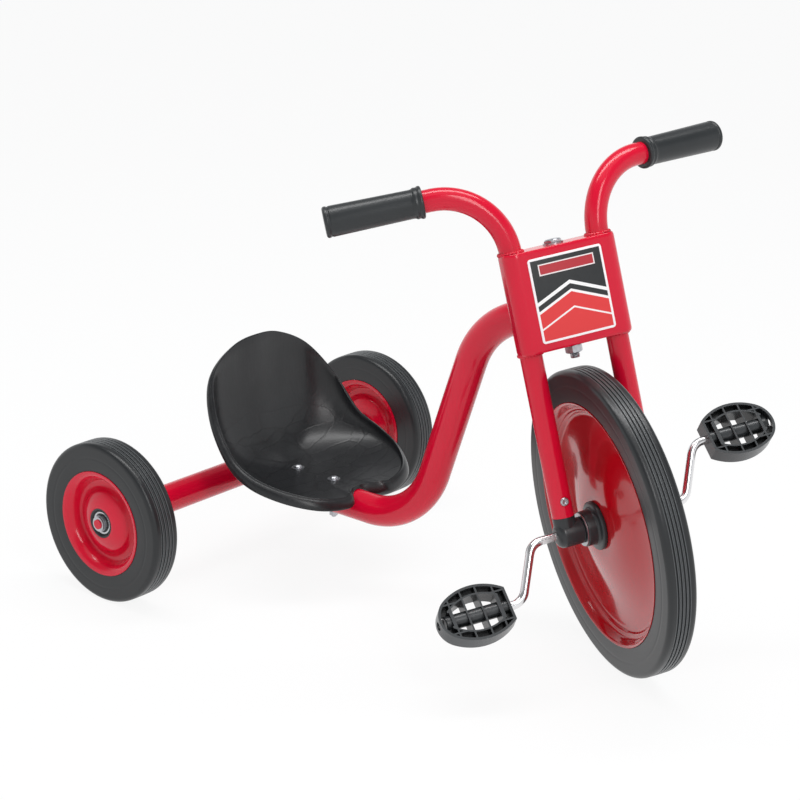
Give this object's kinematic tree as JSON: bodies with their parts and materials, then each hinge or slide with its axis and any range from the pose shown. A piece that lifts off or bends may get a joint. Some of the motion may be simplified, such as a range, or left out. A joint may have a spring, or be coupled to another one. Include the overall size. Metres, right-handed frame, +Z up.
{
  "type": "low rider tricycle",
  "caption": "Low rider tricycle: bent tube frame, scoop seat, small rear wheels, and a steered fork with wide handlebar and a large pedalled front wheel.",
  "frame": {"origin": "on the ground, below the middle of the overall length and width", "axes": "+X forward along the tricycle's length, +Y to the rider's left, +Z up"},
  "size_m": [0.8284, 0.521, 0.594],
  "materials": {
    "frame_red": "gloss paint",
    "wheel_red": "gloss paint",
    "tyre_rubber": "satin rubber",
    "black_plastic": "satin moulded plastic",
    "grip_rubber": "satin",
    "crank_chrome": "polished",
    "plate_print": "printed film",
    "steel_hardware": "zinc plated"
  },
  "bodies": {
    "frame": {"main_tube": "frame_red", "rear_cross_tube": "frame_red", "head_tube": "frame_red", "head_bush_upper": "black_plastic", "head_bush_lower": "black_plastic", "seat": "black_plastic", "seat_bolts": "steel_hardware", "seat_washers": "steel_hardware", "seat_nuts": "steel_hardware", "rear_axle": "frame_red", "axle_plugs": "black_plastic", "axle_washers": "steel_hardware", "axle_rings": "steel_hardware"},
    "fork": {"fork_tube_left": "frame_red", "fork_tube_right": "frame_red", "head_bracket": "frame_red", "front_plate": "plate_print", "grip_left": "grip_rubber", "grip_right": "grip_rubber", "kingpin_bolt": "steel_hardware", "kingpin_washers": "steel_hardware", "kingpin_nut": "steel_hardware", "bearing_block_left": "black_plastic", "bearing_block_right": "black_plastic", "block_screws": "steel_hardware"},
    "front_wheel": {"front_tyre": "tyre_rubber", "front_disc_left": "wheel_red", "front_disc_right": "wheel_red", "hub_boss_left": "black_plastic", "hub_boss_right": "black_plastic", "hub_sleeve": "steel_hardware", "drive_pin": "steel_hardware", "crank_axle": "crank_chrome", "thrust_washers": "steel_hardware", "spindle_rings": "steel_hardware"},
    "pedal_left": {"pedal_left": "black_plastic"},
    "pedal_right": {"pedal_right": "black_plastic"},
    "rear_wheel_left": {"rear_tyre_left": "tyre_rubber", "rear_outer_disc_left": "frame_red", "rear_inner_disc_left": "frame_red", "rear_hub_left": "black_plastic", "rear_bearings_left": "steel_hardware"},
    "rear_wheel_right": {"rear_tyre_right": "tyre_rubber", "rear_outer_disc_right": "frame_red", "rear_inner_disc_right": "frame_red", "rear_hub_right": "black_plastic", "rear_bearings_right": "steel_hardware"}
  },
  "joints": [
    {"name": "steer", "type": "hinge", "parent": "frame", "child": "fork", "pos_m": [0.2493, 0, 0.17681], "axis": [-0.279, 0, 0.9603], "range_deg": [-10, 70]},
    {"name": "front_wheel_spin", "type": "hinge", "parent": "fork", "child": "front_wheel", "pos_m": [0.25221, -0.00175, 0.17766], "axis": [0.4801, 0.866, 0.1395], "continuous": true},
    {"name": "pedal_left_spin", "type": "hinge", "parent": "front_wheel", "child": "pedal_left", "pos_m": [0.22706, 0.00346, 0.23188], "axis": [0.4801, 0.866, 0.1395], "continuous": true},
    {"name": "pedal_right_spin", "type": "hinge", "parent": "front_wheel", "child": "pedal_right", "pos_m": [0.27736, -0.00696, 0.12343], "axis": [0.4801, 0.866, 0.1395], "continuous": true},
    {"name": "rear_left_spin", "type": "hinge", "parent": "frame", "child": "rear_wheel_left", "pos_m": [-0.3142, 0.239, 0.1], "axis": [0, 1, 0], "continuous": true},
    {"name": "rear_right_spin", "type": "hinge", "parent": "frame", "child": "rear_wheel_right", "pos_m": [-0.3142, -0.239, 0.1], "axis": [0, 1, 0], "continuous": true}
  ]
}
